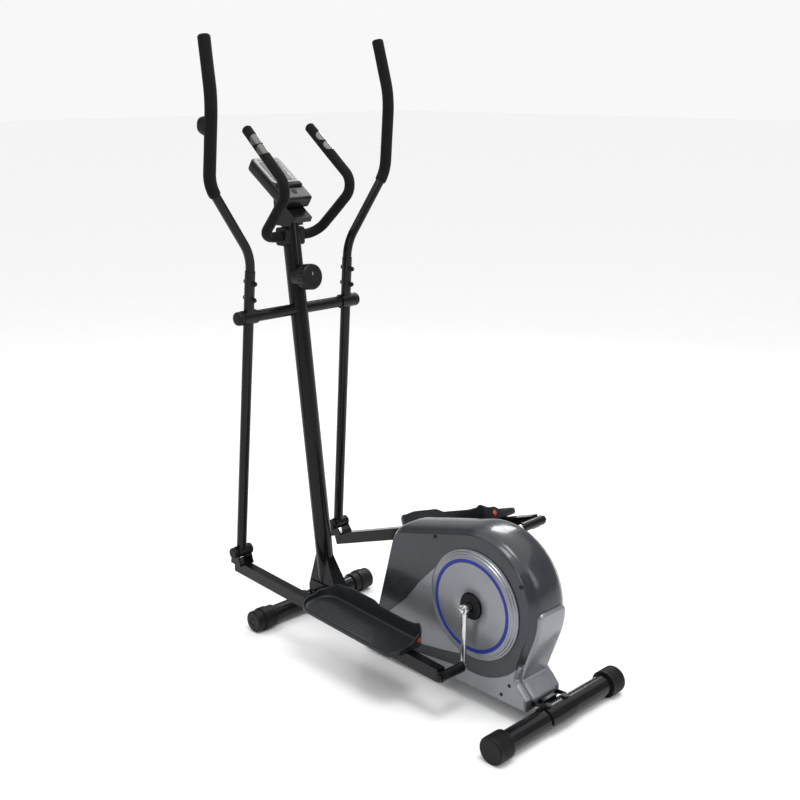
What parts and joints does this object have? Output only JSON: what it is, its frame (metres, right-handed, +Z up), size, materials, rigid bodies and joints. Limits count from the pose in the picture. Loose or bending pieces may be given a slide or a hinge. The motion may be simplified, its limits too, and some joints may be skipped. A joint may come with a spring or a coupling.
{
  "type": "elliptical trainer",
  "caption": "Home elliptical trainer with swinging handles, foot trays on pedal bars, cranks on an enclosed flywheel drive, fixed handlebar, console and tension knob.",
  "frame": {"origin": "middle of the footprint, on the floor", "axes": "+X the way the user faces, +Y the user's left, +Z up"},
  "size_m": [1.1436, 0.6634, 1.6452],
  "materials": {
    "black_steel": "glossy black powder coat",
    "housing_shell": "gloss metallic charcoal",
    "silver_panel": "satin metallic silver",
    "accent_blue": "royal blue, satin",
    "black_plastic": "fine moulded grain",
    "tray_plastic": "textured, anti-slip",
    "foam": "closed-cell foam",
    "chrome": "bright plated",
    "bright_steel": "zinc plated",
    "wheel_iron": "painted casting",
    "belt_rubber": "ribbed",
    "pulley_plastic": "moulded",
    "bush_nylon": "natural nylon",
    "magnet": "nickel plated block",
    "display": "clear window over a dark display",
    "console_shell": "satin dark case"
  },
  "bodies": {
    "root": {"main_frame": "black_steel", "front_post": "black_steel", "rear_stabilizer": "black_steel", "front_stabilizer": "black_steel", "rear_end_caps": "black_plastic", "front_end_caps": "black_plastic", "frame_bolts": "bright_steel", "housing_left": "housing_shell", "housing_right": "housing_shell", "silver_panels": "silver_panel", "disc_covers": "silver_panel", "accent_rings": "accent_blue", "hub_plates": "housing_shell", "rear_fender": "silver_panel", "housing_screws": "bright_steel", "crank_bearings": "bright_steel", "flywheel_axle": "bright_steel", "drive_belt": "belt_rubber", "tension_cable": "black_plastic", "pivot_shaft": "bright_steel", "pivot_end_caps": "black_plastic", "handlebar": "black_steel", "handlebar_grips": "foam", "pulse_sensors": "chrome", "handlebar_clamp": "black_plastic", "console_body": "console_shell", "console_screen": "display", "console_bracket": "black_steel", "knob_base": "black_plastic"},
    "crankset": {"crank_axle": "bright_steel", "left_crank": "chrome", "right_crank": "chrome", "drive_pulley": "pulley_plastic"},
    "flywheel_body": {"flywheel": "wheel_iron", "flywheel_pulley": "bright_steel"},
    "idler_body": {"idler_pulley": "pulley_plastic"},
    "knob_body": {"tension_knob": "black_plastic"},
    "brake_body": {"brake_arm": "black_steel", "brake_magnets": "magnet"},
    "button_body": {"mode_button": "black_plastic"},
    "left_roller_body": {"left_roller": "black_plastic"},
    "left_arm_body": {"left_arm": "black_steel", "left_handle": "black_steel", "left_grip": "foam", "left_arm_bolts": "bright_steel", "left_arm_bushes": "bush_nylon"},
    "left_bar_body": {"left_pedal_bar": "black_steel", "left_foot_tray": "tray_plastic", "left_hinge_pin": "black_plastic", "left_pedal_pin": "bright_steel"},
    "right_roller_body": {"right_roller": "black_plastic"},
    "right_arm_body": {"right_arm": "black_steel", "right_handle": "black_steel", "right_grip": "foam", "right_arm_bolts": "bright_steel", "right_arm_bushes": "bush_nylon"},
    "right_bar_body": {"right_pedal_bar": "black_steel", "right_foot_tray": "tray_plastic", "right_hinge_pin": "black_plastic", "right_pedal_pin": "bright_steel"}
  },
  "joints": [
    {"name": "crank_spin", "type": "hinge", "parent": "root", "child": "crankset", "pos_m": [-0.3223, 0, 0.273], "axis": [0, 1, 0], "continuous": true},
    {"name": "flywheel_spin", "type": "hinge", "parent": "root", "child": "flywheel_body", "pos_m": [-0.1103, 0, 0.232], "axis": [0, 1, 0], "continuous": true},
    {"name": "idler_spin", "type": "hinge", "parent": "root", "child": "idler_body", "pos_m": [-0.1937, 0, 0.16479], "axis": [0, 1, 0], "continuous": true},
    {"name": "tension_turn", "type": "hinge", "parent": "root", "child": "knob_body", "pos_m": [0.42701, 0, 0.99928], "axis": [0.9919, 0, -0.1271], "range_deg": [0, 300]},
    {"name": "brake_swing", "type": "hinge", "parent": "root", "child": "brake_body", "pos_m": [-0.2283, 0, 0.327], "axis": [0, 1, 0], "range_deg": [0, 8]},
    {"name": "mode_press", "type": "slide", "parent": "root", "child": "button_body", "axis": [0.5592, 0, -0.829], "range_m": [0, 0.0015], "stiffness_N_per_m": 300, "springref_m": -0.002},
    {"name": "left_swing", "type": "hinge", "parent": "root", "child": "left_arm_body", "pos_m": [0.4157, 0, 0.911], "axis": [0, 1, 0], "range_deg": [-12.8, 12.8]},
    {"name": "right_swing", "type": "hinge", "parent": "root", "child": "right_arm_body", "pos_m": [0.4157, 0, 0.911], "axis": [0, 1, 0], "range_deg": [-12.8, 12.8]},
    {"name": "left_pedal_hinge", "type": "hinge", "parent": "left_arm_body", "child": "left_bar_body", "pos_m": [0.48985, 0.177, 0.20689], "axis": [0, 1, 0], "range_deg": [-12.8, 12.8]},
    {"name": "right_pedal_hinge", "type": "hinge", "parent": "right_arm_body", "child": "right_bar_body", "pos_m": [0.46357, -0.177, 0.20462], "axis": [0, 1, 0], "range_deg": [-12.8, 12.8]},
    {"name": "left_roller_spin", "type": "hinge", "parent": "root", "child": "left_roller_body", "pos_m": [0.3837, 0, 0.032], "axis": [0, 1, 0], "continuous": true},
    {"name": "right_roller_spin", "type": "hinge", "parent": "root", "child": "right_roller_body", "pos_m": [0.3837, 0, 0.032], "axis": [0, 1, 0], "continuous": true}
  ],
  "couplings": [
    {"joint": "flywheel_spin", "follows": "crank_spin", "ratio": 8},
    {"joint": "idler_spin", "follows": "crank_spin", "ratio": -8.5333},
    {"joint": "brake_swing", "follows": "tension_turn", "ratio": 0.026666},
    {"joint": "right_swing", "follows": "left_swing", "ratio": -1},
    {"joint": "left_pedal_hinge", "follows": "left_swing", "ratio": -1},
    {"joint": "right_pedal_hinge", "follows": "left_swing", "ratio": 1}
  ]
}
